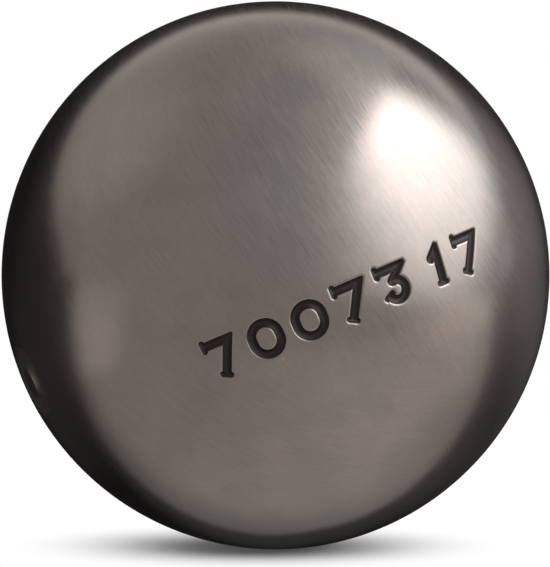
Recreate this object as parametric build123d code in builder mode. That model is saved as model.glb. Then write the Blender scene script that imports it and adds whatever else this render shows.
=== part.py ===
# Petanque boule: two hollow half shells of forged stainless steel, closed by one weld.
# Millimetres, +Z up, with the origin at the centre of the ball. The Y axis runs through the
# poles of the half shells, so the weld lies in the XZ plane. The front half shell looks
# towards -Y and carries one plain ring groove.
from build123d import *
from math import acos, asin, atan2, cos, degrees, radians, sin, sqrt
import os

# The ball: its diameter and its wall set its weight, which is 700 g in steel
ball_diameter = 73.0
wall_thickness = 6.4

# The joint: a lip on the rear half shell enters a counterbore in the front one and seats on its
# shoulder. That centres the halves, sets the root gap and backs the weld from inside.
lip_thickness = 1.8
lip_reach = 3.0
lip_lead_in = 0.5
register_clearance = 0.05
root_gap = 1.0
bevel_angle = 30.0

# The ring groove: its mouth and depth, and the way it faces, turned about Z from -Y and then
# raised. A round nose rolled it in, and inside it a round land is left at the ball's surface.
ring_diameter = 10.4
ring_width = 3.4
ring_depth = 0.55
ring_rounding = 0.6
ring_azimuth = -52.2
ring_elevation = -21.4

ball_radius = ball_diameter / 2
cavity_radius = ball_radius - wall_thickness
lip_radius = cavity_radius + lip_thickness
bore_radius = lip_radius + register_clearance
half_gap = root_gap / 2
seat_depth = half_gap + lip_reach


def arc_angle(sphere_radius, reach):
    """Degrees of a sphere's arc that reach this far from the plane or line it starts at."""
    return degrees(asin(reach / sphere_radius))


def groove_edge_angle(root_radius):
    """Degrees from the weld's middle plane to where its groove's face meets the ball.

    The face rises from its root at the bevel angle, so its line passes the ball's centre at a
    known distance, which gives the angle between the face and the line to the surface point.
    """
    bevel = radians(bevel_angle)
    centre_distance = root_radius * sin(bevel) - half_gap * cos(bevel)
    return bevel_angle - arc_angle(ball_radius, centre_distance)


seat_angle = arc_angle(cavity_radius, seat_depth)
rear_edge_angle = groove_edge_angle(lip_radius)
front_edge_angle = groove_edge_angle(bore_radius)

# Rear half shell, with the lip that backs the weld
with BuildPart() as rear_half_shell:
    with BuildSketch(Plane.XY):
        with BuildLine():
            rear_inside = CenterArc((0, 0), cavity_radius, -seat_angle, 90 + seat_angle)
            rear_outside = CenterArc((0, 0), ball_radius, rear_edge_angle, 90 - rear_edge_angle)
            Polyline(
                rear_inside @ 0,
                (lip_radius - lip_lead_in, -seat_depth),
                (lip_radius, -seat_depth + lip_lead_in),
                (lip_radius, half_gap),
                rear_outside @ 0,
            )
            Line(rear_outside @ 1, rear_inside @ 1)
        make_face()
    revolve(axis=Axis.Y)

# The ring groove is turned about the line that it faces along, out from the centre of the ball.
# Its hollow is the arc of a round nose that crosses the ball's surface at both edges of the mouth.
azimuth = radians(ring_azimuth)
elevation = radians(ring_elevation)
facing = Vector(sin(azimuth) * cos(elevation), -cos(azimuth) * cos(elevation), sin(elevation))
sideways = Vector(cos(azimuth), sin(azimuth), 0)
ring_plane = Plane(origin=(0, 0, 0), x_dir=sideways, z_dir=sideways.cross(facing))


def on_ball(reach):
    """The point of the ball's surface that lies this far from the line the ring faces along."""
    return Vector(reach, sqrt(ball_radius**2 - reach**2))


outer_edge = on_ball(ring_diameter / 2)
inner_edge = on_ball(ring_diameter / 2 - ring_width)
mouth_middle = (outer_edge + inner_edge) / 2
half_mouth = (outer_edge - inner_edge).length / 2
drop = ring_depth - (ball_radius - mouth_middle.length)
nose_radius = (half_mouth**2 + drop**2) / (2 * drop)
nose_centre = mouth_middle.normalized() * (ball_radius - ring_depth + nose_radius)
inward_angle = degrees(atan2(-mouth_middle.Y, -mouth_middle.X))

# The ends of the nose's arc stand out of the ball as far as its hollow goes in
nose_half_sweep = degrees(acos(1 - 2 * ring_depth / nose_radius))

# Front half shell, with the counterbore that the lip enters and the ring groove
with BuildPart() as front_half_shell:
    with BuildSketch(Plane.XY):
        with BuildLine():
            front_inside = CenterArc((0, 0), cavity_radius, -90, 90 - seat_angle)
            front_outside = CenterArc((0, 0), ball_radius, -90, 90 - front_edge_angle)
            Line(front_inside @ 0, front_outside @ 0)
            Polyline(
                front_outside @ 1,
                (bore_radius, -half_gap),
                (bore_radius, -seat_depth),
                front_inside @ 1,
            )
        make_face()
    revolve(axis=Axis.Y)
    with BuildSketch(ring_plane):
        with BuildLine():
            nose = CenterArc(
                nose_centre, nose_radius, inward_angle - nose_half_sweep, 2 * nose_half_sweep
            )
            Line(nose @ 1, nose @ 0)
        make_face()
    revolve(axis=Axis((0, 0, 0), facing), mode=Mode.SUBTRACT)
    closed_edges = front_half_shell.edges().filter_by(lambda edge: edge.is_closed)
    ring_edges = closed_edges.sort_by_distance(facing * ball_radius)[:2]
    fillet(ring_edges, ring_rounding)

# Weld bead: it fills its groove down to the lip and is ground flush with the ball
with BuildPart() as weld_bead:
    with BuildSketch(Plane.XY):
        with BuildLine():
            band_angle = front_edge_angle + rear_edge_angle
            bead_face = CenterArc((0, 0), ball_radius, -front_edge_angle, band_angle)
            Polyline(
                bead_face @ 1,
                (lip_radius, half_gap),
                (lip_radius, -half_gap),
                (bore_radius, -half_gap),
                bead_face @ 0,
            )
        make_face()
    revolve(axis=Axis.Y)

front_half_shell.part.label = "front_half_shell"
rear_half_shell.part.label = "rear_half_shell"
weld_bead.part.label = "weld_bead"

os.makedirs("parts", exist_ok=True)
export_step(front_half_shell.part, "parts/front_half_shell.step")
export_step(rear_half_shell.part, "parts/rear_half_shell.step")
export_step(weld_bead.part, "parts/weld_bead.step")
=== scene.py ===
"""A petanque boule of satin steel, engraved with plain figures, on a white studio floor.

The two half shells and the weld between them are remade as smooth closed meshes in the place of
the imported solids. The front half shell carries the engraved figures and a plain ring groove.
"""

import math

import bpy
import numpy as np
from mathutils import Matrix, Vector
from mathutils.geometry import delaunay_2d_cdt


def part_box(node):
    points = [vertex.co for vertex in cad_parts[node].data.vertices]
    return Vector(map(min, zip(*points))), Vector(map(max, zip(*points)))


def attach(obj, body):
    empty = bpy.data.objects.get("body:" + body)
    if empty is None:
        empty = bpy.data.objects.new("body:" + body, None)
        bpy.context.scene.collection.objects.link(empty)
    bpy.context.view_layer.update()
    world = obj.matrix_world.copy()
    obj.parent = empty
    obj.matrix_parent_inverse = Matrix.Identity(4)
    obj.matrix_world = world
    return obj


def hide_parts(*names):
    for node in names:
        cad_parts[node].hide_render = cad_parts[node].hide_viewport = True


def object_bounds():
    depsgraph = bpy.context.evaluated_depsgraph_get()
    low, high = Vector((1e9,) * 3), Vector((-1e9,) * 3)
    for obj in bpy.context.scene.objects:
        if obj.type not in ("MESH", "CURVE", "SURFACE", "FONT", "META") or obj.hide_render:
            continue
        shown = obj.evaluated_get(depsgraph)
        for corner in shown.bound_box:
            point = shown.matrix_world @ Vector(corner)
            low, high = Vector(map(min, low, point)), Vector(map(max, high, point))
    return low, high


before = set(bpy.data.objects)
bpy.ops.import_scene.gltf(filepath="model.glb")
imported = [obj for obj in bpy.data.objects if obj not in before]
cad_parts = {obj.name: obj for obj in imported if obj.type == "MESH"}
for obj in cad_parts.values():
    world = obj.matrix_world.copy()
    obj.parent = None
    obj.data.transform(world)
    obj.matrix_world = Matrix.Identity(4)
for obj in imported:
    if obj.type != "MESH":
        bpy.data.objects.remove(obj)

bl_info = {
    "name": "Petanque Boule",
    "version": (1, 0, 0),
    "blender": (4, 5, 0),
    "location": "3D View > Sidebar > Boule",
    "description": "Builds an engraved steel petanque boule, its finish and its studio",
    "category": "Object",
}

MM = 0.001
CAD_BOX = [list(corner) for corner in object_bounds()]

# The joint's places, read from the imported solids
BALL_RADIUS = (CAD_BOX[1][0] - CAD_BOX[0][0]) / 2
FRONT_EDGE_Y, REAR_EDGE_Y = (corner.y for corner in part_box("weld_bead"))
HALF_GAP = -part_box("front_half_shell")[1].y
SEAT_DEPTH = -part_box("rear_half_shell")[0].y

# Steps of the meshes. The rim's count is shared by the pieces that meet there. A fine lattice
# goes some steps past the edge of a cut, and its step then grows with the distance. Each of its
# levels is kept where the step wanted is no larger than its own, apart from the slack.
RIM_STEPS = 288
COARSE_STEP = 1.6 * MM
FINE_LEVELS = 4
FIGURE_STEP = 0.1 * MM
RING_STEP = 0.2 * MM
STEPS_PAST_EDGE = 3
STEP_GROWTH = 0.35
STEP_SLACK = 1.01
HOLLOW_RINGS = 18
BAND_RINGS = 6

# Points that agree to these digits of a metre are one, and the triangulation tells points apart
# down to this many millimetres
SAME_POINT_DIGITS = 9
NEARNESS_MM = 1e-7

# Z part of a direction from which on its tangent is worked out from the X axis, and not from Z
CLOSE_TO_Z = 0.8

# Mesh attributes: millimetres inside a cut and inside the ring groove, plus this offset, so that
# plain steel is 0
CUT_ATTRIBUTE = "inside_cut"
GROOVE_ATTRIBUTE = "inside_groove"
MARK_OFFSET = 1.0

# The photograph's frame and the ball's outline in it, in pixels
PHOTO_WIDTH, PHOTO_HEIGHT = 550, 567
BALL_PX, BALL_PY, BALL_RADIUS_PX = 275.5, 275.3, 274.1
SENSOR_WIDTH = 36.0

# The finish: the share of crossing lines, over the cosine from the rings' axis, and the levels of
# the noise that count as its least and its most
CROSSING_SHARE = {"From Min": 0.3, "From Max": 0.75, "To Min": 0.25}
CLOUD_RANGE = {"From Min": 0.35, "From Max": 0.65}
GRAIN_RANGE = {"From Min": 0.3, "From Max": 0.7}

# The floor in reflections, with painted light and shade: its level over places to the right and
# away from the camera, and over both, where a step away counts for a share of one to the right
FLOOR_SIDE = {"From Min": -20 * MM, "From Max": 30 * MM, "To Max": 0.38}
FLOOR_FRONT = {"From Min": -110 * MM, "From Max": -65 * MM}
FLOOR_FAR = {"From Min": 35 * MM, "From Max": 200 * MM, "To Min": 0.86, "To Max": 1.76}
FLOOR_AWAY_SHARE = 0.8

# The room: the light of each part, over the cosine from the part's own direction
GLOW_SPREAD = {"From Min": 0.15, "From Max": 0.6}
GLOW_POWER = 2.0
GLOW_LEVELS = {"To Min": 0.85, "To Max": 1.75}
DAYLIGHT_SPREAD = {"From Min": -0.1, "From Max": 0.5}
WINDOW_SPOT = {"From Min": 0.86, "To Max": 0.28}
SKYLIGHT_SPOT = {"From Min": 0.92, "To Max": 0.4}
FRONT_SPOT = {"From Min": 0.9, "To Max": 0.2}
ZENITH_SPOT = {"From Min": 0.82, "To Max": 0.14}
WALL_ENDS = {"From Min": 0.6, "From Max": 0.82}

# The lit wall's light, over the sine of elevation from its middle
WALL_STRIP = {"From Max": 0.13, "To Min": 0.6, "To Max": 0.0}

# The softbox: its light over the sine of elevation, and over places on its panel, in shares of
# its distance. Its front fade leans above a corner, and its back fade follows the slanting edge.
BOX_RISE = {"From Min": -0.45, "From Max": 0.75}
BOX_RISE_POWER = 1.4
BOX_FRONT_FADE = {"From Min": -2.6, "From Max": -0.5}
BOX_FRONT_POWER = 2.0
BOX_CORNER_START = 0.85
BOX_CORNER_SLANT = -0.45
BOX_BACK_FADE = {"From Min": -0.31, "From Max": 0.24, "To Min": 1.0, "To Max": 0.0}
BOX_BACK_TOP = 0.5
BOX_BACK_SLANT = -1.06

# The flag: how soft its near edge is to the right and the painted shade it puts on the floor, over
# places, and the painted light on its cloth, over its direction from the ball
FLAG_SOFTNESS = {"From Max": 40 * MM, "To Min": 1.0, "To Max": 3.0}
PAINTED_FLAG_SHADE = {"From Min": -10 * MM, "From Max": 3 * MM, "To Min": 1.0, "To Max": 0.38}
# Painted light on the flag's cloth: a little on its left, more on its right and higher up
FLAG_LEFT = {"From Min": -1.0, "From Max": -0.6, "To Min": 0.09, "To Max": 0.0}
FLAG_RIGHT = {"From Min": 0.4, "From Max": 0.9, "To Max": 0.32}
FLAG_RISE = {"From Min": -0.6, "From Max": 0.5, "To Min": 0.25, "To Max": 3.2}

# How far the sheets that lie on the floor are lifted off it
SHEET_LIFT = 0.1 * MM


def linear(hex_colour):
    """Linear RGB of an sRGB hex colour."""
    parts = [int(hex_colour[i : i + 2], 16) / 255 for i in (1, 3, 5)]
    return [p / 12.92 if p <= 0.04045 else ((p + 0.055) / 1.055) ** 2.4 for p in parts]


def facing(azimuth, elevation):
    """Unit vector that is turned by azimuth about Z from -Y and then raised by elevation."""
    level = math.cos(elevation)
    return Vector((math.sin(azimuth) * level, -math.cos(azimuth) * level, math.sin(elevation)))


def length_property(name, description, default):
    """A length in metres."""
    return bpy.props.FloatProperty(
        name=name, description=description, default=default, unit="LENGTH", precision=5
    )


def angle_property(name, description, degrees):
    """An angle, given here in degrees."""
    return bpy.props.FloatProperty(
        name=name, description=description, default=math.radians(degrees), subtype="ANGLE"
    )


def colour_property(name, description, hex_colour):
    """A colour, given here as sRGB hex."""
    return bpy.props.FloatVectorProperty(
        name=name, description=description, default=linear(hex_colour), subtype="COLOR", min=0, max=1
    )


def factor_property(name, description, default):
    """A plain number."""
    return bpy.props.FloatProperty(name=name, description=description, default=default)


class BouleShells(bpy.types.PropertyGroup):
    """Sizes of the half shells, of the joint inside them and of the ring groove."""

    radius: length_property("Radius", "From the centre to the polished surface", BALL_RADIUS)
    wall: length_property("Wall", "Thickness of the half shells", 6.4 * MM)
    lip: length_property("Lip", "Thickness of the lip that backs the weld", 1.8 * MM)
    lead_in: length_property("Lead-in", "Chamfer on the end of the lip", 0.5 * MM)
    clearance: length_property("Clearance", "Between the lip and its counterbore", 0.05 * MM)
    ring_radius: length_property("Ring radius", "Of the ring groove at its outer edge", 5.2 * MM)
    ring_width: length_property("Ring width", "Of the ring groove at its mouth", 3.4 * MM)
    ring_depth: length_property("Ring depth", "At the middle of its hollow", 0.55 * MM)
    ring_rounding: length_property("Ring rounding", "Depth over which its edge is rounded", 0.02 * MM)
    ring_azimuth: angle_property("Ring azimuth", "Turned about Z from -Y", -52.2)
    ring_elevation: angle_property("Ring elevation", "Raised from level", -21.4)


class BouleFigures(bpy.types.PropertyGroup):
    """The line of engraved figures: weight in grams and width in millimetres, then a ball number."""

    text: bpy.props.StringProperty(name="Figures", description="Of 0, 1, 3 and 7", default="70073 17")
    azimuth: angle_property("Azimuth", "Of the middle of the line, about Z from -Y", 36.0)
    elevation: angle_property("Elevation", "Of the middle of the line", -0.1)
    tilt: angle_property("Tilt", "How steeply the line climbs to the right", 21.0)
    latitude: angle_property("Latitude", "Of the line about its own turning axis", -12.0)
    height: length_property("Height", "Of a figure", 5.6 * MM)
    width: length_property("Width", "Of a figure", 5.0 * MM)
    narrow_width: length_property("Narrow width", "Of the figure 1", 3.4 * MM)
    gap: length_property("Gap", "Between two figures", 1.05 * MM)
    word_gap: length_property("Word gap", "Width of a space", 0.9 * MM)
    half_stroke: length_property("Half stroke", "Half the width of a cut stroke", 0.70 * MM)
    serif_reach: length_property("Serif reach", "To each side of its stroke's line", 1.02 * MM)
    half_serif: length_property("Half serif", "Half the thickness of a serif", 0.48 * MM)
    mitre: factor_property("Mitre", "Reach of a sharp corner, in half strokes", 1.5)
    depth: length_property("Depth", "Limit of the cut's depth", 0.6 * MM)
    slope: factor_property("Slope", "Of the cut's wall", 1.1)
    rounding: length_property("Rounding", "Of the cut's edge", 0.05 * MM)


class BouleFinish(bpy.types.PropertyGroup):
    """Colours and grain of the steel and of the filled engraving."""

    warm: colour_property("Warm steel", "Browner tone of the polished patches", "#766b65")
    cool: colour_property("Cool steel", "Greener tone of the polished patches", "#6e6660")
    fill: colour_property("Filled cut", "Dark oxide in the engraving", "#2e2825")
    roughness: factor_property("Roughness", "Of the polished surface", 0.23)
    roughness_swing: factor_property("Roughness swing", "Along the polishing lines", 0.03)
    fill_roughness: factor_property("Fill roughness", "Of the dark oxide", 0.5)
    fill_start: length_property("Fill start", "Inside a cut, where the oxide begins", 0.03 * MM)
    fill_full: length_property("Fill full", "Inside a cut, where it covers the steel", 0.13 * MM)
    groove_roughness: factor_property("Groove roughness", "Where no belt reaches", 0.38)
    groove_fade: length_property("Groove fade", "Inside the groove, to that roughness", 0.4 * MM)
    cloud_size: length_property("Cloud size", "Of the soft patches of tone", 12 * MM)
    line_spacing: length_property("Line spacing", "Between bundles of polishing lines", 0.3 * MM)
    line_length: length_property("Line length", "Over which a line fades into others", 3.5 * MM)
    line_depth: length_property("Line depth", "Of a polishing line", 0.0011 * MM)
    line_contrast: factor_property("Line contrast", "Swing of the lines' lightness", 0.07)
    ring_azimuth: angle_property("Ring azimuth", "Of the axis of the polishing rings", 58.7)
    ring_elevation: angle_property("Ring elevation", "Of the axis of the polishing rings", 43.3)
    cross_azimuth: angle_property("Cross azimuth", "Of the axis of the crossing lines", 110.0)
    cross_elevation: angle_property("Cross elevation", "Of the axis of the crossing lines", 33.0)


class BouleStudio(bpy.types.PropertyGroup):
    """The camera and the studio around the ball."""

    azimuth: angle_property("Camera azimuth", "About Z from -Y", 20.0)
    elevation: angle_property("Camera elevation", "Above level", 5.3)
    distance: length_property("Camera distance", "From the ball's centre", 0.8)
    floor: colour_property("Floor", "White sweep that the ball stands on", "#fbfbfa")
    daylight: colour_property("Daylight", "Cool light from the softbox's side", "#f3faff")
    daylight_azimuth: angle_property("Daylight azimuth", "From the camera", 60.0)
    daylight_elevation: angle_property("Daylight elevation", "Above level", 25.0)
    flag: colour_property("Flag", "Tint of the dark cloth behind the ball", "#f3edf1")
    wall: colour_property("Wall", "Tint of the lit strip of wall above the flag", "#fff5ea")
    floor_size: length_property("Floor size", "Side of the floor", 24.0)
    ambient: factor_property("Ambient", "Level of the white room on matt surfaces", 0.63)
    lamp_level: factor_property("Lamp level", "Strength of the lamp behind the camera", 1.9)
    lamp_elevation: angle_property("Lamp elevation", "Above level", 50.0)
    lamp_spread: angle_property("Lamp spread", "How wide the lamp looks from the ball", 50.0)
    shade_core: length_property("Shade core", "Reach of the ball's full shadow", 6.5 * MM)
    shade_reach: length_property("Shade reach", "Where the shadow has faded out", 34.5 * MM)
    shade_left: length_property("Shade left", "How far left of the ball the shadow is centred", 3 * MM)
    shade_depth: factor_property("Shade depth", "Of the shadow, front to back, over its width", 0.68)
    shade_white: factor_property("Shade white", "Share of plain white in the full shadow", 0.06)
    glow_azimuth: angle_property("Glow azimuth", "Of the room's light side, from the camera", 85.0)
    glow_elevation: angle_property("Glow elevation", "Of the room's light side", 10.0)
    window_azimuth: angle_property("Window azimuth", "Of a pale spot to the left", -100.0)
    window_elevation: angle_property("Window elevation", "Of a pale spot to the left", 42.0)
    skylight_azimuth: angle_property("Skylight azimuth", "Of a pale spot at the back", 140.0)
    skylight_elevation: angle_property("Skylight elevation", "Of a pale spot at the back", 60.0)
    front_azimuth: angle_property("Front azimuth", "Of a pale spot behind the camera", 12.0)
    front_elevation: angle_property("Front elevation", "Of a pale spot behind the camera", 42.0)
    zenith_azimuth: angle_property("Zenith azimuth", "Of a pale spot high up", 120.0)
    zenith_elevation: angle_property("Zenith elevation", "Of a pale spot high up", 80.0)
    wall_azimuth: angle_property("Wall azimuth", "Of the middle of the lit strip of wall", 175.0)
    wall_elevation: angle_property("Wall elevation", "Of the lit strip of wall", 33.0)
    card_level: factor_property("Card level", "Brightness of the white card to the left", 1.22)
    card_near: length_property("Card near", "From the ball to the card", 70 * MM)
    card_far: length_property("Card far", "From the ball to the card's far end", 1.2)
    card_spread: factor_property("Card spread", "Its reach to the front over the distance", 0.55)
    box_level: factor_property("Softbox level", "Brightness of the softbox", 9.3)
    box_distance: length_property("Softbox distance", "From the ball to its right", 0.35)
    box_height: length_property("Softbox height", "Of its top above the ball's centre", 0.58)
    box_front: length_property("Softbox front", "Reach of the softbox towards the camera", 0.62)
    box_back: length_property("Softbox back", "Reach of its top away from the camera", 0.50)
    box_foot: length_property("Softbox foot", "Reach of its foot away from the camera", 0.08)
    # The flag's glow: dim, with painted light along its near edge
    flag_level: factor_property("Flag level", "Brightness of the unlit flag", 0.014)
    flag_edge_level: factor_property("Flag edge level", "Brightness at its near edge", 0.1)
    flag_edge_width: length_property("Flag edge width", "Over which that edge darkens", 9 * MM)
    flag_distance: length_property("Flag distance", "From the ball to the dark flag", 0.40)
    flag_height: length_property("Flag height", "Of the flag above the ball's centre", 0.275)
    flag_near: length_property("Flag near edge", "Where the flag comes nearest", -12.9 * MM)
    flag_turn: length_property("Flag turn", "Where that is, to the right of the ball", 6 * MM)
    flag_slant_left: factor_property("Flag slant left", "Of the near edge, away to the left", 0.04)
    flag_slant_right: factor_property("Flag slant right", "Of the near edge, away to the right", 0.185)
    flag_slant_top: factor_property("Flag slant top", "Of the top edge, down to the left", 0.03)
    flag_left: length_property("Flag left", "Reach of the flag to the left", 2.4)
    flag_right: length_property("Flag right", "Reach of the flag to the right", 0.85)


class BouleSettings(bpy.types.PropertyGroup):
    """All settings of the boule and its studio."""

    shells: bpy.props.PointerProperty(type=BouleShells)
    figures: bpy.props.PointerProperty(type=BouleFigures)
    finish: bpy.props.PointerProperty(type=BouleFinish)
    studio: bpy.props.PointerProperty(type=BouleStudio)


def add(tree, kind, inputs=None, **settings):
    """Adds a node, sets its own settings and fills its sockets from values or other sockets."""
    made = tree.nodes.new(kind)
    for name, value in settings.items():
        setattr(made, name, value)
    for name, value in (inputs or {}).items():
        if isinstance(value, bpy.types.NodeSocket):
            tree.links.new(value, made.inputs[name])
        else:
            made.inputs[name].default_value = value
    return made


def empty_material(name):
    """A material with an empty node tree, and that tree."""
    material = bpy.data.materials.new(name)
    material.use_nodes = True
    material.node_tree.nodes.clear()
    return material, material.node_tree


def figure_strokes(figure, x, y):
    """The strokes of one figure, whose lines run within x and y of its middle.

    A line is a row of points, with a serif on each end that is asked for. A bowl is its centre,
    radius, middle angle and half its sweep, with a serif on its first end. A ring is the half
    length of its straight sides and its radius.
    """
    bowl = 0.61 * y
    strokes = {
        "0": [("ring", y - x, x)],
        "1": [("line", [(-x, 0.55 * y), (0, y), (0, -y)], (False, True))],
        "3": [
            ("line", [(-x, y), (0.8 * x, y), (-0.1 * x, 2 * bowl - y)], (True, False)),
            ("bowl", (0.1 * x, bowl - y), bowl, math.radians(-25), math.radians(125)),
        ],
        "7": [("line", [(-x, y), (0.85 * x, y), (-0.35 * x, -y)], (True, True))],
    }
    return strokes[figure]


def inside_bar(place, start, end, half):
    """How far inside a bar with round ends points lie, negative outside it."""
    run = end - start
    at = np.clip((place - start) @ run / (run @ run), 0, 1)
    return half - np.linalg.norm(place - start - at[:, None] * run, axis=1)


def inside_serif(place, end, run, figures):
    """How far inside the serif that crosses a stroke's end points lie, negative outside it."""
    middle = end + run * (figures.half_stroke - figures.half_serif)
    side = np.array((-run[1], run[0])) * (figures.serif_reach - figures.half_serif)
    return inside_bar(place, middle - side, middle + side, figures.half_serif)


def inside_line(place, points, serifs, figures):
    """How far inside a line with round ends and mitred corners points lie, negative outside it."""
    half = figures.half_stroke
    points = np.array(points)
    runs = np.diff(points, axis=0)
    runs /= np.linalg.norm(runs, axis=1, keepdims=True)
    cuts = [inside_bar(place, start, end, half) for start, end in zip(points, points[1:])]
    for before, after, corner in zip(runs, runs[1:], points[1:-1]):
        off = place - corner
        sides = [half - np.abs(off @ (-run[1], run[0])) for run in (before, after)]
        tip = (before - after) / np.linalg.norm(before - after)
        cuts.append(np.minimum.reduce([*sides, figures.mitre * half - off @ tip]))
    if serifs[0]:
        cuts.append(inside_serif(place, points[0], -runs[0], figures))
    if serifs[1]:
        cuts.append(inside_serif(place, points[-1], runs[-1], figures))
    return np.maximum.reduce(cuts)


def inside_bowl(place, centre, radius, middle, half_sweep, figures):
    """How far inside an arc with a serif on its first end points lie, negative outside it."""
    x, y = (place - centre).T
    turned = (np.arctan2(y, x) - middle + math.pi) % (2 * math.pi) - math.pi
    along = np.abs(np.hypot(x, y) - radius)
    first, last = (middle + turn * half_sweep for turn in (-1, 1))
    outward = np.array((math.cos(first), math.sin(first)))
    ends = [centre + radius * outward, centre + radius * np.array((math.cos(last), math.sin(last)))]
    beyond = np.minimum.reduce([np.linalg.norm(place - end, axis=1) for end in ends])
    inside = figures.half_stroke - np.where(np.abs(turned) < half_sweep, along, beyond)
    run = np.array((outward[1], -outward[0]))
    return np.maximum(inside, inside_serif(place, ends[0], run, figures))


def inside_ring(place, straight, radius, figures):
    """How far inside a ring with straight sides points lie, negative outside it."""
    beyond = np.maximum(np.abs(place[:, 1]) - straight, 0)
    return figures.half_stroke - np.abs(np.hypot(place[:, 0], beyond) - radius)


INSIDE = {"line": inside_line, "bowl": inside_bowl, "ring": inside_ring}


def inside_figures(directions, figures, radius):
    """How far inside the engraved strokes the surface lies in each direction, negative outside.

    The line of figures runs along a circle of latitude about an axis of its own.
    """
    middle = np.array(facing(figures.azimuth, figures.elevation))
    level = np.cross((0, 0, 1), middle)
    level /= np.linalg.norm(level)
    upright = np.cross(middle, level)
    tilted = upright * math.cos(figures.tilt) - level * math.sin(figures.tilt)
    axis = tilted * math.cos(figures.latitude) + middle * math.sin(figures.latitude)
    start = middle * math.cos(figures.latitude) - tilted * math.sin(figures.latitude)
    turn = np.arctan2(directions @ np.cross(axis, start), directions @ start)
    along = radius * math.cos(figures.latitude) * turn
    across = radius * (np.arcsin(np.clip(directions @ axis, -1, 1)) - figures.latitude)

    special = {" ": figures.word_gap, "1": figures.narrow_width}
    widths = [special.get(mark, figures.width) for mark in figures.text]
    length = sum(widths) + figures.gap * (len(widths) - 1)
    inside = -np.hypot(
        np.maximum(np.abs(across) - figures.height / 2, 0),
        np.maximum(np.abs(along) - length / 2, 0),
    )
    near = inside > -figures.height
    inside[near] = -figures.height
    half_height = figures.height / 2 - figures.half_stroke
    left = -length / 2
    for mark, width in zip(figures.text, widths):
        if mark != " ":
            place = np.stack([along[near] - left - width / 2, across[near]], axis=1)
            strokes = figure_strokes(mark, width / 2 - figures.half_stroke, half_height)
            cuts = [INSIDE[kind](place, *sizes, figures) for kind, *sizes in strokes]
            inside[near] = np.maximum.reduce([inside[near], *cuts])
        left += width + figures.gap
    return inside


def inside_groove(directions, shells):
    """How far inside the ring groove's mouth the surface lies in each direction, negative outside."""
    centre = np.array(facing(shells.ring_azimuth, shells.ring_elevation))
    away = shells.radius * np.arccos(np.clip(directions @ centre, -1, 1))
    half = shells.ring_width / 2
    return half - np.abs(away - shells.ring_radius + half)


def front_relief(directions, shells, figures):
    """How far the front half shell's surface stands above the plain ball in each direction."""
    inside = inside_figures(directions, figures, shells.radius)
    rounded = figures.rounding * np.logaddexp(0, inside / figures.rounding)
    cut = figures.depth * np.tanh(figures.slope * rounded / figures.depth)
    half_ring = shells.ring_width / 2
    hollow = shells.ring_depth * (1 - (1 - inside_groove(directions, shells) / half_ring) ** 2)
    hollow = shells.ring_rounding * np.logaddexp(0, hollow / shells.ring_rounding)
    return -cut - hollow


def front_step(directions, shells, figures):
    """The mesh step that the front half shell's surface needs in each direction."""
    to_cut = -inside_figures(directions, figures, shells.radius)
    to_edge = np.abs(inside_groove(directions, shells))
    past_cut = np.maximum(to_cut - STEPS_PAST_EDGE * FIGURE_STEP, 0)
    past_edge = np.maximum(to_edge - STEPS_PAST_EDGE * RING_STEP, 0)
    return np.minimum(FIGURE_STEP + STEP_GROWTH * past_cut, RING_STEP + STEP_GROWTH * past_edge)


def surface_normals(directions, relief, radius):
    """Normals of a surface that stands above the ball by a relief, from central differences."""
    reach = FIGURE_STEP / 2 / radius
    level = np.abs(directions[:, 2:]) < CLOSE_TO_Z
    helper = np.where(level, (0.0, 0.0, 1.0), (1.0, 0.0, 0.0))
    first = np.cross(helper, directions)
    first /= np.linalg.norm(first, axis=1, keepdims=True)
    normals = directions.copy()
    for tangent in (first, np.cross(directions, first)):
        beside = [directions + sign * reach * tangent for sign in (1, -1)]
        ahead, behind = (relief(b / np.linalg.norm(b, axis=1, keepdims=True)) for b in beside)
        normals -= ((ahead - behind) / (2 * reach * radius))[:, None] * tangent
    return normals / np.linalg.norm(normals, axis=1, keepdims=True)


def skin_directions(flat, side, radius):
    """Directions of points that lie flat round a pole, at their true distance from it."""
    away = np.hypot(flat[:, 0], flat[:, 1])
    spread = np.sinc(away / radius / math.pi) / radius
    return np.stack([flat[:, 0] * spread, side * np.cos(away / radius), flat[:, 1] * spread], axis=1)


def ring_turns():
    """Angles of the points of a ring about the Y axis."""
    return np.arange(RIM_STEPS) * 2 * math.pi / RIM_STEPS


def skin_lattice(reach, side, radius, step_wanted):
    """The rim of a half shell's skin, then a staggered lattice that is finer where it has to be."""
    rim = reach * np.stack([np.cos(ring_turns()), np.sin(ring_turns())], axis=1)
    kept = []
    for level in range(FINE_LEVELS + 1):
        step = COARSE_STEP / 2**level
        rows = np.arange(-int(reach / step) - 1, int(reach / step) + 2)
        x, y = np.meshgrid(rows * step, rows * step)
        x += (rows % 2)[:, None] * step / 2
        points = np.stack([x.ravel(), y.ravel()], axis=1)
        points = points[np.hypot(*points.T) < reach - step / 2]
        if level:
            wanted = step_wanted(skin_directions(points, side, radius))
            points = points[wanted < STEP_SLACK * step]
        kept.append(points)
    inner = np.unique(np.round(np.concatenate(kept), SAME_POINT_DIGITS), axis=0)
    return np.concatenate([rim, inner])


def triangles(flat):
    """Delaunay triangles over flat points, of which the first ones are the rim in order."""
    rim = [(i, (i + 1) % RIM_STEPS) for i in range(RIM_STEPS)]
    inside_only = 1
    corners = [Vector(point) for point in flat / MM]
    made = delaunay_2d_cdt(corners, rim, [], inside_only, NEARNESS_MM)
    if len(made[0]) != len(flat):
        raise RuntimeError("points of the skin were merged or split")
    return np.array(made[2])


def ring(radius, y):
    """One ring of points about the Y axis."""
    turn = ring_turns()
    return np.stack([radius * np.cos(turn), np.full(RIM_STEPS, y), radius * np.sin(turn)], axis=1)


def band_faces(first, second):
    """Quads between two rings, given by the number of each ring's first point."""
    i = np.arange(RIM_STEPS)
    j = (i + 1) % RIM_STEPS
    return np.stack([first + j, first + i, second + i, second + j], axis=1)


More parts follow.
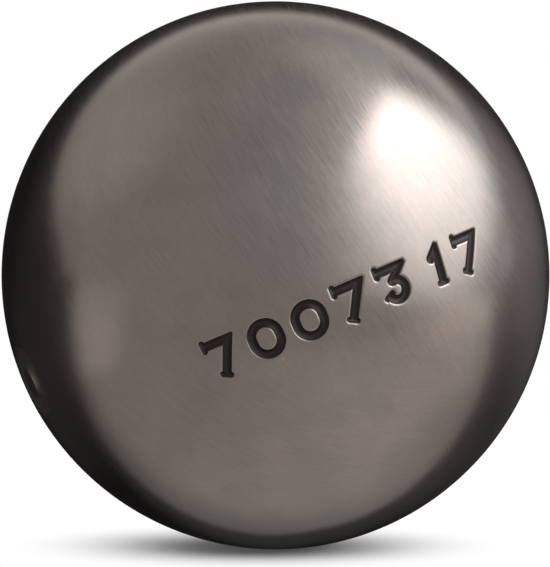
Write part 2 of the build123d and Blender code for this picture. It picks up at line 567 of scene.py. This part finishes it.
def half_shell(side, edge_y, joint, shells, relief, step_wanted):
    """Points, skin faces, skin normals and inside faces of one half shell.

    The joint is the profile of radii and heights from the skin's edge to the hollow's edge.
    """
    reach = shells.radius * math.acos(abs(edge_y) / shells.radius)
    flat = skin_lattice(reach, side, shells.radius, step_wanted)
    directions = skin_directions(flat, side, shells.radius)
    outer = directions * (shells.radius + relief(directions))[:, None]
    normals = surface_normals(directions, relief, shells.radius)

    hollow = shells.radius - shells.wall
    edge_angle = math.acos(side * joint[-1][1] / hollow)
    angles = edge_angle * (1 - np.arange(HOLLOW_RINGS) / HOLLOW_RINGS)
    rings = [ring(*corner) for corner in joint]
    rings += [ring(hollow * math.sin(a), side * hollow * math.cos(a)) for a in angles]
    points = np.concatenate([outer, *rings, [(0, side * hollow, 0)]])
    firsts = [0] + [len(outer) + i * RIM_STEPS for i in range(len(rings))]
    bands = np.concatenate([band_faces(a, b) for a, b in zip(firsts, firsts[1:])])
    pole = len(points) - 1
    cap = band_faces(firsts[-1], pole)[:, :3]
    cap[:, 2] = pole
    outward = -side
    inside = bands[:, ::outward].tolist() + cap[:, ::outward].tolist()
    return points, triangles(flat)[:, ::outward], normals, inside


def new_piece(name, node, parts, material):
    """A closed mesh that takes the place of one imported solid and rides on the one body."""
    points, skin, skin_normals, inside = parts
    mesh = bpy.data.meshes.new(name)
    mesh.from_pydata(points.tolist(), [], skin.tolist() + inside)
    mesh.polygons.foreach_set("use_smooth", np.arange(len(mesh.polygons)) < len(skin))
    corner_normals = np.zeros((len(mesh.loops), 3))
    corner_normals[: skin.size] = skin_normals[skin.ravel()]
    mesh.normals_split_custom_set(corner_normals.tolist())
    mesh.materials.append(material)
    piece = bpy.data.objects.new(name, mesh)
    bpy.context.scene.collection.objects.link(piece)
    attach(piece, "root")
    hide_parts(node)
    return piece


def turned_to(tree, place, axis):
    """Socket of how much a place on the ball is turned towards an axis, from -1 to 1."""
    unit = add(tree, "ShaderNodeVectorMath", {0: place}, operation="NORMALIZE").outputs[0]
    both = {0: unit, 1: axis}
    return add(tree, "ShaderNodeVectorMath", both, operation="DOT_PRODUCT").outputs["Value"]


def polish_lines(tree, place, axis, radius, finish):
    """Noise drawn out into rings about an axis: quick across them and slow along them."""
    angle = add(tree, "ShaderNodeMath", {0: turned_to(tree, place, axis)}, operation="ARCCOSINE")
    lines = {0: angle.outputs[0], 1: radius / finish.line_spacing}
    across = add(tree, "ShaderNodeMath", lines, operation="MULTIPLY").outputs[0]
    drawn_out = {0: place, "Scale": 1 / finish.line_length}
    along = add(tree, "ShaderNodeVectorMath", drawn_out, operation="SCALE").outputs[0]
    noise = {"Vector": along, "W": across, "Scale": 1.0, "Detail": 1.5, "Roughness": 0.8}
    return add(tree, "ShaderNodeTexNoise", noise, noise_dimensions="4D").outputs[0]


def mark_value(inside):
    """Value of a mark's attribute this far inside its edge."""
    return inside / MM + MARK_OFFSET


def belt_polished_steel(finish, radius):
    """Forged stainless steel, polished on belts while it turned, then engraved.

    The belts leave fine lines in rings, with a second pass across them, so reflections are soft
    and streaked. They also leave patches of a browner or a greener grey. The engraving came
    later: its rounded edges are bare steel and the cuts hold a dark oxide. The ring groove is
    more matt, because no belt reaches into it.
    """
    name = "belt_polished_stainless_steel"
    if name in bpy.data.materials:
        return bpy.data.materials[name]
    material, tree = empty_material(name)
    place = add(tree, "ShaderNodeTexCoord").outputs["Object"]

    # Lines of about 0.1 mm on the real ball are drawn in bundles of 0.3 mm, so that they show
    ring_axis = facing(finish.ring_azimuth, finish.ring_elevation)
    cross_axis = facing(finish.cross_azimuth, finish.cross_elevation)
    rings = polish_lines(tree, place, ring_axis, radius, finish)
    cross = polish_lines(tree, place, cross_axis, radius, finish)
    crossing = {"Value": turned_to(tree, place, ring_axis), **CROSSING_SHARE}
    share = add(tree, "ShaderNodeMapRange", crossing).outputs[0]
    crossed = {"Factor": share, "A": rings, "B": cross}
    grain = add(tree, "ShaderNodeMix", crossed, data_type="FLOAT").outputs["Result"]
    patches = {"Vector": place, "Scale": 1 / finish.cloud_size, "Detail": 5.0, "Roughness": 0.65}
    clouds = add(tree, "ShaderNodeTexNoise", patches).outputs[0]

    spread = {"Value": clouds, **CLOUD_RANGE}
    patch = add(tree, "ShaderNodeMapRange", spread, interpolation_type="SMOOTHSTEP").outputs[0]
    tones = {"Factor": patch, "A": [*finish.cool, 1], "B": [*finish.warm, 1]}
    tone = add(tree, "ShaderNodeMix", tones, data_type="RGBA").outputs["Result"]
    light = {"Value": grain, **GRAIN_RANGE}
    light |= {"To Min": 1 - finish.line_contrast, "To Max": 1 + finish.line_contrast}
    lightness = add(tree, "ShaderNodeMapRange", light).outputs[0]
    steel = add(tree, "ShaderNodeHueSaturation", {"Color": tone, "Value": lightness}).outputs[0]

    cut = add(tree, "ShaderNodeAttribute", attribute_name=CUT_ATTRIBUTE).outputs["Fac"]
    dark = {"Value": cut}
    dark |= {"From Min": mark_value(finish.fill_start), "From Max": mark_value(finish.fill_full)}
    filled = add(tree, "ShaderNodeMapRange", dark, interpolation_type="SMOOTHSTEP").outputs[0]
    colours = {"Factor": filled, "A": steel, "B": [*finish.fill, 1]}
    colour = add(tree, "ShaderNodeMix", colours, data_type="RGBA").outputs["Result"]

    smooth = finish.roughness - finish.roughness_swing
    gloss = {"Value": grain, **GRAIN_RANGE, "To Min": smooth}
    gloss |= {"To Max": finish.roughness + finish.roughness_swing}
    steel_roughness = add(tree, "ShaderNodeMapRange", gloss).outputs[0]
    groove = add(tree, "ShaderNodeAttribute", attribute_name=GROOVE_ATTRIBUTE).outputs["Fac"]
    matt = {"Value": groove, "From Min": MARK_OFFSET, "From Max": mark_value(finish.groove_fade)}
    matt |= {"To Min": steel_roughness, "To Max": finish.groove_roughness}
    steel_roughness = add(tree, "ShaderNodeMapRange", matt).outputs[0]
    rough = {"Factor": filled, "A": steel_roughness, "B": finish.fill_roughness}
    roughness = add(tree, "ShaderNodeMix", rough, data_type="FLOAT").outputs["Result"]
    lines = {"Height": grain, "Strength": 1.0, "Distance": finish.line_depth}
    surface = {
        "Base Color": colour,
        "Metallic": 1.0,
        "Roughness": roughness,
        "Normal": add(tree, "ShaderNodeBump", lines).outputs[0],
    }
    shader = add(tree, "ShaderNodeBsdfPrincipled", surface).outputs[0]
    add(tree, "ShaderNodeOutputMaterial", {"Surface": shader})
    return material


class BOULE_OT_front_shell(bpy.types.Operator):
    """Build the front half shell with its engraved figures and its ring groove"""

    bl_idname = "boule.front_shell"
    bl_label = "Engraved front half shell"

    def execute(self, context):
        settings = context.scene.boule
        shells, figures = settings.shells, settings.figures
        bore = shells.radius - shells.wall + shells.lip + shells.clearance
        joint = [(bore, -HALF_GAP), (bore, -SEAT_DEPTH)]
        parts = half_shell(
            -1,
            FRONT_EDGE_Y,
            joint,
            shells,
            lambda directions: front_relief(directions, shells, figures),
            lambda directions: front_step(directions, shells, figures),
        )
        steel = belt_polished_steel(settings.finish, shells.radius)
        piece = new_piece("front_shell_engraved", "front_half_shell", parts, steel)
        points = parts[0]
        directions = points / np.linalg.norm(points, axis=1, keepdims=True)
        marks = {
            CUT_ATTRIBUTE: inside_figures(directions, figures, shells.radius),
            GROOVE_ATTRIBUTE: inside_groove(directions, shells),
        }
        for name, inside in marks.items():
            inside = np.maximum(mark_value(inside), 0)
            inside[len(parts[2]) :] = 0
            attribute = piece.data.attributes.new(name, "FLOAT", "POINT")
            attribute.data.foreach_set("value", inside.astype(np.float32))
        return {"FINISHED"}


class BOULE_OT_rear_shell(bpy.types.Operator):
    """Build the plain rear half shell with the lip that backs the weld"""

    bl_idname = "boule.rear_shell"
    bl_label = "Plain rear half shell"

    def execute(self, context):
        settings = context.scene.boule
        shells = settings.shells
        lip = shells.radius - shells.wall + shells.lip
        lip_end = -SEAT_DEPTH + shells.lead_in
        joint = [(lip, HALF_GAP), (lip, lip_end), (lip - shells.lead_in, -SEAT_DEPTH)]
        parts = half_shell(
            1,
            REAR_EDGE_Y,
            joint,
            shells,
            lambda directions: np.zeros(len(directions)),
            lambda directions: np.full(len(directions), COARSE_STEP),
        )
        steel = belt_polished_steel(settings.finish, shells.radius)
        new_piece("rear_shell", "rear_half_shell", parts, steel)
        return {"FINISHED"}


class BOULE_OT_weld_band(bpy.types.Operator):
    """Build the weld, a ring that is ground flush with both half shells"""

    bl_idname = "boule.weld_band"
    bl_label = "Weld band"

    def execute(self, context):
        settings = context.scene.boule
        shells = settings.shells
        lip = shells.radius - shells.wall + shells.lip
        heights = np.linspace(FRONT_EDGE_Y, REAR_EDGE_Y, BAND_RINGS)
        outer = [ring(math.sqrt(shells.radius**2 - y**2), y) for y in heights]
        groove = [(lip, HALF_GAP), (lip, -HALF_GAP), (lip + shells.clearance, -HALF_GAP)]
        rings = outer + [ring(*corner) for corner in groove]
        firsts = [i * RIM_STEPS for i in range(len(rings))] + [0]
        bands = [band_faces(a, b) for a, b in zip(firsts, firsts[1:])]
        skin = np.concatenate(bands[: BAND_RINGS - 1])
        inside = np.concatenate(bands[BAND_RINGS - 1 :]).tolist()
        points = np.concatenate(rings)
        parts = points, skin, np.concatenate(outer) / shells.radius, inside
        steel = belt_polished_steel(settings.finish, shells.radius)
        new_piece("weld_band", "weld_bead", parts, steel)
        return {"FINISHED"}


def stage_sheet(name, rows, material):
    """A flat or folded sheet of the studio, from rows of corners."""
    across = len(rows[0])
    corners = [corner for row in rows for corner in row]
    starts = [i for i in range(len(corners) - across) if (i + 1) % across]
    mesh = bpy.data.meshes.new(name)
    mesh.from_pydata(corners, [], [(i, i + 1, i + across + 1, i + across) for i in starts])
    mesh.materials.append(material)
    sheet = bpy.data.objects.new(name, mesh)
    bpy.context.scene.collection.objects.link(sheet)
    return sheet


def only_in_reflections(obj):
    """Leaves an object of the studio to polished surfaces alone, out of the picture and the shadow."""
    obj.visible_camera = False
    obj.visible_diffuse = False
    obj.visible_shadow = False


def past_flag_edge(tree, x, y, studio):
    """Socket of how far a place lies behind the flag's near edge, drawn out softer to the right."""
    past_turn = {0: x, 1: studio.flag_turn}
    past_turn = add(tree, "ShaderNodeMath", past_turn, operation="SUBTRACT").outputs[0]
    past_turn = add(tree, "ShaderNodeMath", {0: past_turn, 1: 0.0}, operation="MAXIMUM").outputs[0]
    edge = {0: past_turn, 1: studio.flag_slant_right, 2: studio.flag_near}
    edge = add(tree, "ShaderNodeMath", edge, operation="MULTIPLY_ADD").outputs[0]
    behind = add(tree, "ShaderNodeMath", {0: y, 1: edge}, operation="SUBTRACT").outputs[0]
    softness = add(tree, "ShaderNodeMapRange", {"Value": past_turn, **FLAG_SOFTNESS}).outputs[0]
    return add(tree, "ShaderNodeMath", {0: behind, 1: softness}, operation="DIVIDE").outputs[0]


def painted_flag_shade(tree, x, y, studio):
    """Socket of the painted shade towards the flag's near edge: the share of light left on the floor
    and the card there.
    """
    shade = {"Value": past_flag_edge(tree, x, y, studio), **PAINTED_FLAG_SHADE}
    return add(tree, "ShaderNodeMapRange", shade, interpolation_type="SMOOTHSTEP").outputs[0]


def painted_floor_light(tree, x, y, studio):
    """Socket of the floor's level in reflections: painted light, brighter on the right towards the
    softbox, and painted shade towards the flag's edge.
    """
    side = add(tree, "ShaderNodeMapRange", {"Value": x, **FLOOR_SIDE}).outputs[0]
    near = add(tree, "ShaderNodeMapRange", {"Value": y, **FLOOR_FRONT}).outputs[0]
    across = {0: y, 1: FLOOR_AWAY_SHARE, 2: x}
    across = add(tree, "ShaderNodeMath", across, operation="MULTIPLY_ADD").outputs[0]
    far = add(tree, "ShaderNodeMapRange", {"Value": across, **FLOOR_FAR}).outputs[0]
    lit = {0: side, 1: near, 2: far}
    lit = add(tree, "ShaderNodeMath", lit, operation="MULTIPLY_ADD").outputs[0]
    shaded = {0: lit, 1: painted_flag_shade(tree, x, y, studio)}
    return add(tree, "ShaderNodeMath", shaded, operation="MULTIPLY").outputs[0]


def white_floor(studio, radius):
    """Matt white paper that shows white, and keeps the ball's shadow close to the ball."""
    material, tree = empty_material("matt_white_paper")
    place = add(tree, "ShaderNodeTexCoord").outputs["Object"]
    squeezed = {0: place, 1: (1, 1 / studio.shade_depth, 1)}
    ellipse = add(tree, "ShaderNodeVectorMath", squeezed, operation="MULTIPLY").outputs[0]
    away = add(tree, "ShaderNodeVectorMath", {0: ellipse}, operation="LENGTH").outputs["Value"]
    fade = {"Value": away, "From Min": studio.shade_core, "From Max": studio.shade_reach}
    fade |= {"To Min": studio.shade_white}
    clear = add(tree, "ShaderNodeMapRange", fade, interpolation_type="SMOOTHSTEP").outputs[0]
    x, y, _ = add(tree, "ShaderNodeSeparateXYZ", {0: place}).outputs
    # In reflections the paper glows with painted light, brighter on the right, and painted shade
    # towards the flag's near edge
    mirrored = add(tree, "ShaderNodeLightPath").outputs["Is Glossy Ray"]
    levels = {"Factor": mirrored, "A": 1.0, "B": painted_floor_light(tree, x, y, studio)}
    level = add(tree, "ShaderNodeMix", levels, data_type="FLOAT").outputs["Result"]
    paper = add(tree, "ShaderNodeBsdfDiffuse", {"Color": [*studio.floor, 1]}).outputs[0]
    white = add(tree, "ShaderNodeEmission", {"Color": (1, 1, 1, 1), "Strength": level}).outputs[0]
    shader = add(tree, "ShaderNodeMixShader", {0: clear, 1: paper, 2: white}).outputs[0]
    add(tree, "ShaderNodeOutputMaterial", {"Surface": shader})
    material.cycles.emission_sampling = "NONE"
    half = studio.floor_size / 2
    rows = [[(x, y, 0) for x in (-half, half)] for y in (-half, half)]
    floor = stage_sheet("floor", rows, material)
    floor.rotation_euler.z = studio.azimuth
    left = -facing(studio.azimuth + math.pi / 2, 0)
    floor.location = left * studio.shade_left - Vector((0, 0, radius))


def pale_spot(tree, way, towards, light):
    """Socket of a soft pale spot of the room."""
    spot = {"Value": turned_to(tree, way, towards), **light}
    return add(tree, "ShaderNodeMapRange", spot, interpolation_type="SMOOTHSTEP").outputs[0]


def lit_wall(tree, way, studio):
    """Socket of the lit strip of wall at the back, above the flag."""
    height = {0: turned_to(tree, way, (0, 0, 1)), 1: math.sin(studio.wall_elevation)}
    height = add(tree, "ShaderNodeMath", height, operation="SUBTRACT").outputs[0]
    height = add(tree, "ShaderNodeMath", {0: height}, operation="ABSOLUTE").outputs[0]
    strip = {"Value": height, **WALL_STRIP}
    strip = add(tree, "ShaderNodeMapRange", strip, interpolation_type="SMOOTHSTEP").outputs[0]
    behind = turned_to(tree, way, facing(studio.azimuth + studio.wall_azimuth, 0))
    back = add(tree, "ShaderNodeMapRange", {"Value": behind, **WALL_ENDS}).outputs[0]
    return add(tree, "ShaderNodeMath", {0: strip, 1: back}, operation="MULTIPLY").outputs[0]


def white_room(studio):
    """White for the camera, uneven in reflections and softer on matt surfaces."""
    world = bpy.data.worlds.new("white_room")
    world.use_nodes = True
    tree = world.node_tree
    tree.nodes.clear()
    path = add(tree, "ShaderNodeLightPath").outputs
    way = add(tree, "ShaderNodeTexCoord").outputs["Generated"]
    light_side = facing(studio.azimuth + studio.glow_azimuth, studio.glow_elevation)
    glow = {"Value": turned_to(tree, way, light_side), **GLOW_SPREAD}
    glow = add(tree, "ShaderNodeMapRange", glow).outputs[0]
    glow = add(tree, "ShaderNodeMath", {0: glow, 1: GLOW_POWER}, operation="POWER").outputs[0]
    glow = add(tree, "ShaderNodeMapRange", {"Value": glow, **GLOW_LEVELS}).outputs[0]
    window = facing(studio.azimuth + studio.window_azimuth, studio.window_elevation)
    skylight = facing(studio.azimuth + studio.skylight_azimuth, studio.skylight_elevation)
    front = facing(studio.azimuth + studio.front_azimuth, studio.front_elevation)
    zenith = facing(studio.azimuth + studio.zenith_azimuth, studio.zenith_elevation)
    wall = lit_wall(tree, way, studio)
    parts = [
        pale_spot(tree, way, window, WINDOW_SPOT),
        pale_spot(tree, way, skylight, SKYLIGHT_SPOT),
        pale_spot(tree, way, front, FRONT_SPOT),
        pale_spot(tree, way, zenith, ZENITH_SPOT),
        wall,
    ]
    for part in parts:
        glow = add(tree, "ShaderNodeMath", {0: glow, 1: part}).outputs[0]
    mirrored = {0: path["Is Glossy Ray"], 1: path["Is Transmission Ray"]}
    mirrored = add(tree, "ShaderNodeMath", mirrored, operation="MAXIMUM").outputs[0]
    level = {"Value": path["Is Camera Ray"], "To Min": studio.ambient, "To Max": 1.0}
    level = add(tree, "ShaderNodeMapRange", level).outputs[0]
    strength = {"Factor": mirrored, "A": level, "B": glow}
    strength = add(tree, "ShaderNodeMix", strength, data_type="FLOAT").outputs["Result"]
    cool_side = facing(studio.azimuth + studio.daylight_azimuth, studio.daylight_elevation)
    cool = {"Value": turned_to(tree, way, cool_side), **DAYLIGHT_SPREAD, "To Max": mirrored}
    cool = add(tree, "ShaderNodeMapRange", cool).outputs[0]
    tint = {"Factor": cool, "A": (1, 1, 1, 1), "B": [*studio.daylight, 1]}
    tint = add(tree, "ShaderNodeMix", tint, data_type="RGBA").outputs["Result"]
    tint = {"Factor": wall, "A": tint, "B": [*studio.wall, 1]}
    tint = add(tree, "ShaderNodeMix", tint, data_type="RGBA").outputs["Result"]
    background = add(tree, "ShaderNodeBackground", {"Color": tint, "Strength": strength})
    add(tree, "ShaderNodeOutputWorld", {"Surface": background.outputs[0]})
    bpy.context.scene.world = world


def front_lamp(studio):
    """A wide soft lamp behind the camera that lights the floor and keeps the shadow close."""
    lamp = bpy.data.lights.new("front_lamp", "SUN")
    lamp.energy = studio.lamp_level
    lamp.angle = studio.lamp_spread
    obj = bpy.data.objects.new("front_lamp", lamp)
    obj.visible_glossy = False
    towards = facing(studio.azimuth, studio.lamp_elevation)
    obj.rotation_euler = towards.to_track_quat("Z", "Y").to_euler()
    bpy.context.scene.collection.objects.link(obj)


def seen_from_ball(tree):
    """Sockets of the direction, as seen from the ball, of a point of the studio's sheets."""
    place = add(tree, "ShaderNodeTexCoord").outputs["Object"]
    unit = add(tree, "ShaderNodeVectorMath", {0: place}, operation="NORMALIZE").outputs[0]
    return add(tree, "ShaderNodeSeparateXYZ", {0: unit}).outputs


def glowing_cloth(name, colour, tree_level):
    """A cloth of the studio that glows at a level, worked out by its nodes."""
    material, tree = empty_material(name)
    glow = {"Color": [*colour, 1], "Strength": tree_level(tree)}
    shader = add(tree, "ShaderNodeEmission", glow).outputs[0]
    add(tree, "ShaderNodeOutputMaterial", {"Surface": shader})
    return material


def softbox(studio, radius):
    """A tall bright panel to the ball's right.

    It is brightest high up. It fades downwards, towards the camera and to its slanting back edge.
    """

    def level(tree):
        x, y, z = seen_from_ball(tree)
        rise = add(tree, "ShaderNodeMapRange", {"Value": z, **BOX_RISE}).outputs[0]
        height = {0: rise, 1: BOX_RISE_POWER}
        height = add(tree, "ShaderNodeMath", height, operation="POWER").outputs[0]
        turn = add(tree, "ShaderNodeMath", {0: y, 1: x}, operation="DIVIDE").outputs[0]
        slant = add(tree, "ShaderNodeMath", {0: z, 1: x}, operation="DIVIDE").outputs[0]
        corner = {0: slant, 1: BOX_CORNER_START}
        corner = add(tree, "ShaderNodeMath", corner, operation="SUBTRACT").outputs[0]
        corner = add(tree, "ShaderNodeMath", {0: corner, 1: 0.0}, operation="MAXIMUM").outputs[0]
        near = {0: corner, 1: BOX_CORNER_SLANT, 2: turn}
        near = add(tree, "ShaderNodeMath", near, operation="MULTIPLY_ADD").outputs[0]
        near = add(tree, "ShaderNodeMapRange", {"Value": near, **BOX_FRONT_FADE}).outputs[0]
        near = {0: near, 1: BOX_FRONT_POWER}
        near = add(tree, "ShaderNodeMath", near, operation="POWER").outputs[0]
        edge = {0: slant, 1: BOX_BACK_TOP}
        edge = add(tree, "ShaderNodeMath", edge, operation="MINIMUM").outputs[0]
        past = {0: edge, 1: BOX_BACK_SLANT, 2: turn}
        past = add(tree, "ShaderNodeMath", past, operation="MULTIPLY_ADD").outputs[0]
        far = {"Value": past, **BOX_BACK_FADE}
        far = add(tree, "ShaderNodeMapRange", far, interpolation_type="SMOOTHSTEP").outputs[0]
        both = add(tree, "ShaderNodeMath", {0: height, 1: near}, operation="MULTIPLY").outputs[0]
        both = add(tree, "ShaderNodeMath", {0: both, 1: far}, operation="MULTIPLY").outputs[0]
        glow = {"Value": both, "To Min": 1.0, "To Max": studio.box_level}
        return add(tree, "ShaderNodeMapRange", glow).outputs[0]

    side, front = studio.box_distance, -studio.box_front
    rows = [
        [(side, front, studio.box_height), (side, studio.box_back, studio.box_height)],
        [(side, front, -radius), (side, studio.box_foot, -radius)],
    ]
    box = stage_sheet("softbox", rows, glowing_cloth("softbox_cloth", studio.daylight, level))
    box.rotation_euler.z = studio.azimuth
    only_in_reflections(box)


def white_card(studio, radius):
    """A white card on the floor to the ball's left, in front of the flag, that widens outwards and
    glows, with painted shade towards the flag's near edge.
    """

    def level(tree):
        place = add(tree, "ShaderNodeTexCoord").outputs["Object"]
        x, y, _ = add(tree, "ShaderNodeSeparateXYZ", {0: place}).outputs
        # The card's glow is dimmed by painted shade towards the flag's near edge
        lit = {0: painted_flag_shade(tree, x, y, studio), 1: studio.card_level}
        return add(tree, "ShaderNodeMath", lit, operation="MULTIPLY").outputs[0]

    height = -radius + SHEET_LIFT
    ends = (studio.card_near, studio.card_far)
    rows = [
        [(-x, -studio.card_spread * x, height) for x in ends],
        [(-x, studio.flag_near, height) for x in ends],
    ]
    material = glowing_cloth("white_card", studio.floor, level)
    material.cycles.emission_sampling = "NONE"
    card = stage_sheet("card", rows, material)
    card.rotation_euler.z = studio.azimuth
    only_in_reflections(card)


def dark_flag(studio, radius):
    """A dark cloth behind the ball, over the floor and up, which draws its dark outline.

    Its glow holds painted light: brighter on its right, towards the softbox, and a little on its left
    and along its edge.
    """

    def level(tree):
        place = add(tree, "ShaderNodeTexCoord").outputs["Object"]
        across, along, _ = add(tree, "ShaderNodeSeparateXYZ", {0: place}).outputs
        # Painted light along the flag's near edge, fading to the unlit level behind it
        past = past_flag_edge(tree, across, along, studio)
        strip = {"Value": past, "From Max": studio.flag_edge_width}
        strip |= {"To Min": studio.flag_edge_level, "To Max": studio.flag_level}
        strip = add(tree, "ShaderNodeMapRange", strip, interpolation_type="SMOOTHSTEP").outputs[0]
        # Painted light on the cloth: a little on its left, and more on its right and high up
        x, _, z = seen_from_ball(tree)
        left = add(tree, "ShaderNodeMapRange", {"Value": x, **FLAG_LEFT}).outputs[0]
        dim = add(tree, "ShaderNodeMath", {0: left, 1: strip}).outputs[0]
        side = add(tree, "ShaderNodeMapRange", {"Value": x, **FLAG_RIGHT}).outputs[0]
        height = {"Value": z, **FLAG_RISE}
        height = add(tree, "ShaderNodeMapRange", height, interpolation_type="SMOOTHSTEP").outputs[0]
        lit = {0: side, 1: height, 2: dim}
        return add(tree, "ShaderNodeMath", lit, operation="MULTIPLY_ADD").outputs[0]

    columns = [
        (-studio.flag_left, studio.flag_slant_left),
        (studio.flag_turn, 0),
        (studio.flag_right, studio.flag_slant_right),
    ]
    edge = [(x, studio.flag_near + slant * abs(x - studio.flag_turn)) for x, slant in columns]
    tops = [(x, studio.flag_height + studio.flag_slant_top * min(x, 0)) for x, _ in columns]
    foot = -radius + SHEET_LIFT
    rows = [
        [(x, y, foot) for x, y in edge],
        [(x, studio.flag_distance, foot) for x, _ in columns],
        [(x, studio.flag_distance, top) for x, top in tops],
    ]
    material = glowing_cloth("dark_flag_cloth", studio.flag, level)
    material.cycles.emission_sampling = "NONE"
    flag = stage_sheet("flag", rows, material)
    flag.rotation_euler.z = studio.azimuth
    only_in_reflections(flag)


def photo_camera(studio, radius):
    """A long lens at the photograph's angle, with the ball's outline where it lies there."""
    data = bpy.data.cameras.new("camera")
    focal_px = BALL_RADIUS_PX / math.tan(math.asin(radius / studio.distance))
    data.sensor_width = SENSOR_WIDTH
    data.lens = focal_px * SENSOR_WIDTH / PHOTO_HEIGHT
    data.shift_x = (PHOTO_WIDTH / 2 - BALL_PX) / PHOTO_HEIGHT
    data.shift_y = (BALL_PY - PHOTO_HEIGHT / 2) / PHOTO_HEIGHT
    camera = bpy.data.objects.new("camera", data)
    back = facing(studio.azimuth, studio.elevation)
    camera.location = back * studio.distance
    camera.rotation_euler = back.to_track_quat("Z", "Y").to_euler()
    bpy.context.scene.collection.objects.link(camera)
    bpy.context.scene.camera = camera


class BOULE_OT_studio(bpy.types.Operator):
    """Set up the floor, the light and the camera"""

    bl_idname = "boule.studio"
    bl_label = "Studio"

    def execute(self, context):
        settings = context.scene.boule
        studio, radius = settings.studio, settings.shells.radius
        white_floor(studio, radius)
        white_room(studio)
        front_lamp(studio)
        softbox(studio, radius)
        white_card(studio, radius)
        dark_flag(studio, radius)
        photo_camera(studio, radius)
        context.scene.view_settings.view_transform = "Standard"
        return {"FINISHED"}


class BOULE_PT_builder(bpy.types.Panel):
    """Lists the boule's pieces and its studio"""

    bl_label = "Petanque boule"
    bl_space_type = "VIEW_3D"
    bl_region_type = "UI"
    bl_category = "Boule"

    def draw(self, context):
        settings = context.scene.boule
        for operator in OPERATORS:
            self.layout.operator(operator.bl_idname)
        for group in (settings.shells, settings.figures, settings.finish, settings.studio):
            box = self.layout.box()
            for name in group.__annotations__:
                box.prop(group, name)


GROUPS = (BouleShells, BouleFigures, BouleFinish, BouleStudio, BouleSettings)
OPERATORS = (BOULE_OT_front_shell, BOULE_OT_rear_shell, BOULE_OT_weld_band, BOULE_OT_studio)
CLASSES = (*GROUPS, *OPERATORS, BOULE_PT_builder)


def register():
    """Registers the classes and the scene's settings."""
    for kind in CLASSES:
        bpy.utils.register_class(kind)
    bpy.types.Scene.boule = bpy.props.PointerProperty(type=BouleSettings)


def unregister():
    """Takes the settings and the classes away again."""
    del bpy.types.Scene.boule
    for kind in reversed(CLASSES):
        bpy.utils.unregister_class(kind)


def main():
    """Builds every piece and the studio."""
    register()
    bpy.ops.boule.front_shell()
    bpy.ops.boule.rear_shell()
    bpy.ops.boule.weld_band()
    bpy.ops.boule.studio()


if __name__ == "__main__":
    main()
